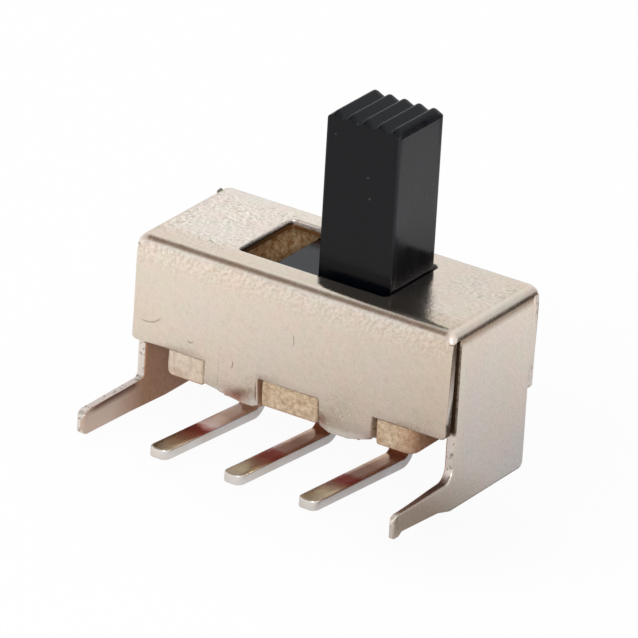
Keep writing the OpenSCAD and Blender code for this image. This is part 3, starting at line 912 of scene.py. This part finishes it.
# %% Cutting a hole
def cut_hole(piece, low, high):
    """Cuts a box out of a piece with an exact boolean, and applies it."""
    x, y, z = np.meshgrid([low[0], high[0]], [low[1], high[1]], [low[2], high[2]], indexing="ij")
    points = np.column_stack((x.ravel(), y.ravel(), z.ravel())) * MM
    faces = [(0, 1, 3, 2), (4, 6, 7, 5), (0, 4, 5, 1), (2, 3, 7, 6), (0, 2, 6, 4), (1, 5, 7, 3)]
    cutter = mesh_object("cutter", points.tolist(), faces)
    hole = piece.modifiers.new("hole", "BOOLEAN")
    hole.operation = "DIFFERENCE"
    hole.object = cutter
    hole.solver = "EXACT"
    bpy.context.view_layer.update()
    evaluated = piece.evaluated_get(bpy.context.evaluated_depsgraph_get())
    cut = bpy.data.meshes.new_from_object(evaluated)
    piece.modifiers.clear()
    piece.data = cut
    bpy.data.objects.remove(cutter)


def terminal_board():
    """The outline carried up through the board's thickness, with round lower and rough edges."""
    outline = board_outline()
    whole = board_top - board_z
    steps = np.array([0, 0.012, 0.04, 0.08, 0.14, 0.2, 0.3, 0.4, 0.5, whole - 0.02, whole])
    inset = np.array([0.032, 0.018, 0.006, 0.001, 0, 0, 0, 0, 0, 0, 0.015])
    push = inset[None, :] + rough_edge(outline, steps)
    rings = outline[:, None] + across_outline(outline)[:, None] * push[..., None]
    height = np.tile(board_z + steps, (len(outline), 1))
    loops = np.concatenate((rings, height[..., None]), axis=2).transpose(1, 0, 2)
    return make_piece("fibre_board", [tube(loops)], [phenolic_laminate()])


board_piece = terminal_board()
beyond = 0.2  # how far a cutter reaches past the piece it cuts
gap = 0.02
half_x, half_y = tail_half + gap, tail_thick / 2 + gap
for x in (-pitch, 0, pitch):
    cut_hole(board_piece, (x - half_x, -half_y, board_z - beyond),
             (x + half_x, half_y, board_top + beyond))
place_piece(board_piece, "housing", "board_phenolic", "terminal_board")

# %% [markdown]
# ## Terminals
# A terminal is blanked from brass strip, silver plated, pushed through the board and bent back
# along the feet. Silver plate is the brightest metal here, a little yellow where it is thin. The
# mesh is a rounded section carried along the bent middle line: a wide blade above the board, a
# neck, a quarter bend and the long tail, whose width follows the round corners of its tip.
# %% Silver plate
def silver_plate():
    """Bright plate with a faint drawn grain along the strip and yellow-brown breath on it."""
    made, tree, place = new_material("silver plated brass")
    x, y, _ = add(tree, "SeparateXYZ", {0: place}).outputs
    drawn = add(tree, "Mapping", {"Vector": place, "Scale": Vector((3.0, 0.35, 1.0))})
    grain = add(tree, "TexNoise", {"Vector": drawn, "Scale": 7.0, "Detail": 4.0, "Roughness": 0.6})
    breath = patches(tree, place, 1.3, 3.0, 0.35, 0.7)
    # breath on the upper faces: olive at the tip, red in the middle, pale, then tan at the case
    facing = add(tree, "NewGeometry").outputs["Normal"]
    facing = add(tree, "SeparateXYZ", {0: facing}).outputs["Z"]
    facing = region(tree, 1, (facing, 0.5, 0.9))
    along = add(tree, "Math", {0: breath, 1: 0.25, 2: y}, operation="MULTIPLY_ADD")
    breathed = bands(tree, along, [(-3.6, "#c2baa9"), (-3.2, "#d9d0b9"), (-2.85, "#e0cdbb"),
                     (-2.50, "#e6b3a4"), (-2.25, "#dc7d78"), (-1.98, "#e08a83"),
                     (-1.80, "#f6e0d8"), (-1.35, "#eccdb2"), (-1.15, "#d8b498")])
    tone = layered(tree, "#efeceb", [("#e2d8cc", 1, breath), (breathed, 1, facing)])
    # a dry white bloom near the case on the left strip, where the plate is no longer mirror-like
    bloom = region(tree, 0.8, (x, -1.0, -1.5), (along, -2.06, -1.80), facing)
    plate = add(tree, "Math", {0: 1.0, 1: bloom}, operation="SUBTRACT")
    rough = add(tree, "MapRange", {"Value": grain, "To Min": 0.16, "To Max": 0.32})
    bump = add(tree, "Bump", {"Height": grain, "Strength": 0.3, "Distance": 0.008 * MM})
    return finish_material(made, tone, rough, Metallic=plate, Normal=bump)


silver = silver_plate()


# %% Terminal shape
def terminal(x, name):
    """Carries a rounded section down the blade, through the bend and out along the tail."""
    rise, bend, tip_r, soft = radians(4.3), 0.34, 0.20, 0.035
    centre = np.array((-bend, 0.46))
    reach = leg_tip + 0.08
    top = board_top + blade_rise
    down = top - centre[1]
    round_bend = bend * (pi / 2 + rise)
    tail = (reach + centre[0] - (bend + tail_thick / 2) * sin(rise)) / cos(rise)
    whole = down + round_bend + tail
    tips = tip_r * np.sin(np.linspace(0, pi / 2, 9))
    s = np.concatenate((tip_r - tips[::-1], [blade_rise - 1e-4, blade_rise + 1e-4],
                        np.linspace(blade_rise + 0.02, down, 6)[1:],
                        down + np.linspace(0, 1, 15)[1:] * round_bend,
                        down + round_bend + np.linspace(0.02, 0.97, 24) * (tail - tip_r),
                        whole - tip_r + tips))
    s = np.unique(np.round(s, 6))
    # the middle line: straight down, a circle, then straight out
    angle = np.clip((s - down) / bend, 0, pi / 2 + rise)
    past_bend = np.clip(s - down - round_bend, 0, None)
    y = np.where(s < down, 0, centre[0] + bend * np.cos(angle)) - past_bend * cos(rise)
    z = np.where(s < down, top - s, centre[1] - bend * np.sin(angle)) + past_bend * sin(rise)
    out = np.column_stack((np.cos(angle), -np.sin(angle)))
    # half the width: the blade, the neck, and a round corner at each end
    from_end = np.minimum(s, whole - s)
    half = np.where(s < blade_rise, blade_half, tail_half)
    half = half - drawn_in(ramp(from_end, tip_r, 0), tip_r)
    pull = drawn_in(ramp(from_end, soft, 0), soft)
    half, thick = half - pull * 0.5, tail_thick / 2 - pull
    corner, outward = stations(3, 1, 4)
    wide = corner[:, 0] * (half[:, None] - soft) + outward[:, 0] * soft
    deep = corner[:, 1] * (thick[:, None] - soft) + outward[:, 1] * soft
    loops = np.stack((x + wide, y[:, None] + out[:, :1] * deep, z[:, None] + out[:, 1:] * deep), -1)
    return make_piece(name, [tube(loops)], [silver])


for name, k in (("left", -1), ("common", 0), ("right", 1)):
    piece = terminal(k * pitch, f"{name}_terminal")
    place_piece(piece, "housing", "terminal_silver", f"terminal_{name}")

# %% [markdown]
# ## Slider
# The slider is moulded in one from black acetal or ABS: a low carrier that slides under the top,
# and the knob with its five grip ridges. Moulded black plastic is dark with a soft gloss, and
# handling leaves dull smudges on it and tiny light chips where edges were knocked.
# %% Moulded plastic
def moulded_plastic():
    """Blue-black plastic with upright smudges, a haze that is also a painted sheen high on its
    sides, a fine moulded grain and a few pale specks.
    """
    made, tree, place = new_material("moulded black plastic")
    x, _, z = add(tree, "SeparateXYZ", {0: place}).outputs
    upright = add(tree, "Mapping", {"Vector": place, "Scale": Vector((2.4, 2.4, 0.5))})
    smudge = add(tree, "TexNoise", {"Vector": upright, "Scale": 1.1, "Detail": 4.0,
                 "Roughness": 0.6})
    rough = add(tree, "MapRange", {"Value": smudge, "From Min": 0.35, "From Max": 0.7,
                "To Min": 0.12, "To Max": 0.26})
    # handling haze, which is also a painted sheen, high on the two sides that a finger pushes, and
    # pale specks
    off = add(tree, "Math", {0: x, 1: slider_x}, operation="SUBTRACT")
    off = add(tree, "Math", {0: off}, operation="ABSOLUTE")
    speck = add(tree, "TexVoronoi", {"Vector": place, "Scale": 2.6, "Randomness": 1.0})
    tone = layered(tree, "#04060c", [("#34333a", 1, (off, 0.90, 0.96),
                   (z, case_h + 0.7, case_h + 1.6), smudge),
                   ("#4b4f56", 1, (speck.outputs["Distance"], 0.075, 0.03))])
    grain = add(tree, "TexNoise", {"Vector": place, "Scale": 14.0, "Detail": 3.0})
    bump = add(tree, "Bump", {"Height": grain, "Strength": 0.25, "Distance": 0.006 * MM})
    return finish_material(made, tone, rough, IOR=1.30, Normal=bump)


plastic = moulded_plastic()


# %% [markdown]
# The knob is its front outline carried through its depth, with all its front and back edges round.
# The outline goes up one side, over five ridges with round crests, and down the other side. The
# first and last sections are drawn in along a quarter circle, which rounds the edges.
# %% Knob and carrier
def outline_slab(outline, low, high, edge_r):
    """Loops of a slab: the closed outline carried from low to high, with round edges."""
    turn = np.linspace(0, pi / 2, 5)
    inset, rise = edge_r * (1 - np.sin(turn)), edge_r * (1 - np.cos(turn))
    shares = np.array([0.03, 0.06, 0.1, 0.5, 0.9, 0.94, 0.97])
    between = low + edge_r + (high - low - 2 * edge_r) * shares
    inset = np.concatenate((inset, np.zeros(len(shares)), inset[::-1]))
    place = np.concatenate((low + rise, between, high - rise[::-1]))
    rings = outline[None] + across_outline(outline)[None] * inset[:, None, None]
    return np.concatenate((rings, np.tile(place[:, None, None], (1, len(outline), 1))), axis=2)


def knob_outline():
    """The knob seen from the front: x and z, anticlockwise, with five ridges on top. The outer
    flanks of the first and last ridge run into the sides with a wide radius."""
    left, right = slider_x - knob_half, slider_x + knob_half
    foot = case_h - 0.3
    crest, peak = 0.055, slider_high[2] + 0.018
    width = 2 * knob_half / ridge_count
    line = [(left, foot + 0.2, 0), (left, foot, 0.05), (right, foot, 0.05), (right, shoulder, 0.12)]
    for k in range(ridge_count):
        if k > 0:
            line.append((right - k * width, shoulder, 0.015))
        line.append((right - (k + 0.5) * width, peak, crest))
    line += [(left, shoulder, 0.12), (left, foot + 0.3, 0)]
    return rounded([(x, z, r + 1e-3, n) for n, (x, z, r) in enumerate(line)])[:, :2]


def slider_piece():
    """The knob, whose ridges are worn at their ends, on its carrier. The holes are cut later."""
    knob = outline_slab(knob_outline(), -knob_deep, knob_deep, 0.03)
    worn = ramp(np.abs(knob[..., 2]), 0.70, knob_deep) ** 2
    above = np.clip(knob[..., 1] - shoulder, 0, 1)
    knob[..., 1] -= above * worn * 0.55
    corner, outward = stations(6, 4, 6)
    half, corner_r = np.array((carrier_half, slider_high[1])), 0.20
    ring = corner * (half - corner_r) + outward * corner_r + np.array((slider_x, 0))
    carrier = outline_slab(ring, slider_low[2], case_h - sheet - 0.05, 0.04)
    return make_piece("moulded_slider", [tube(knob[..., [0, 2, 1]]), tube(carrier)], [plastic])


slider = slider_piece()
# the pocket for the clip, then the slit for the blades: half length, half width and top
for half_x, half_y, top in ((1.4, 0.47, 3.75), (2.5, 0.17, 3.14)):
    cut_hole(slider, (slider_x - half_x, -half_y, slider_low[2] - beyond),
             (slider_x + half_x, half_y, top))
place_piece(slider, "slider", "slider_black", "slider")

# %% [markdown]
# ## Contact clip
# The clip is folded from phosphor bronze strip and rides in the slider's pocket, where it bridges
# two blades. It is only glimpsed from below, so its solid stays and gets a bronze finish.
# %% Phosphor bronze
def phosphor_bronze():
    """Rolled spring bronze with a drawn grain and darker heat stains."""
    made, tree, place = new_material("phosphor bronze")
    rolled = add(tree, "Mapping", {"Vector": place, "Scale": Vector((0.5, 4.0, 4.0))})
    grain = add(tree, "TexNoise", {"Vector": rolled, "Scale": 5.0, "Detail": 4.0})
    tone = layered(tree, "#b07a4c", [("#d8a470", 1, grain)])
    rough = add(tree, "MapRange", {"Value": grain, "To Min": 0.25, "To Max": 0.45})
    return finish_material(made, tone, rough, Metallic=1.0)


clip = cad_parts["contact_clip"]
clip.data.materials.clear()
clip.data.materials.append(phosphor_bronze())
print("contact_clip keeps its solid, in", clip.data.materials[0].name)

# %% [markdown]
# The dressed part has to fill the same box as the solids. Both boxes are written down side by side.
# %% Sizes and finish
made_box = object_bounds()
for word, (low, high) in (("cad", CAD_BOX), ("visual", made_box)):
    print(word, [round((b - a) / MM, 3) for a, b in zip(low, high)], "mm")
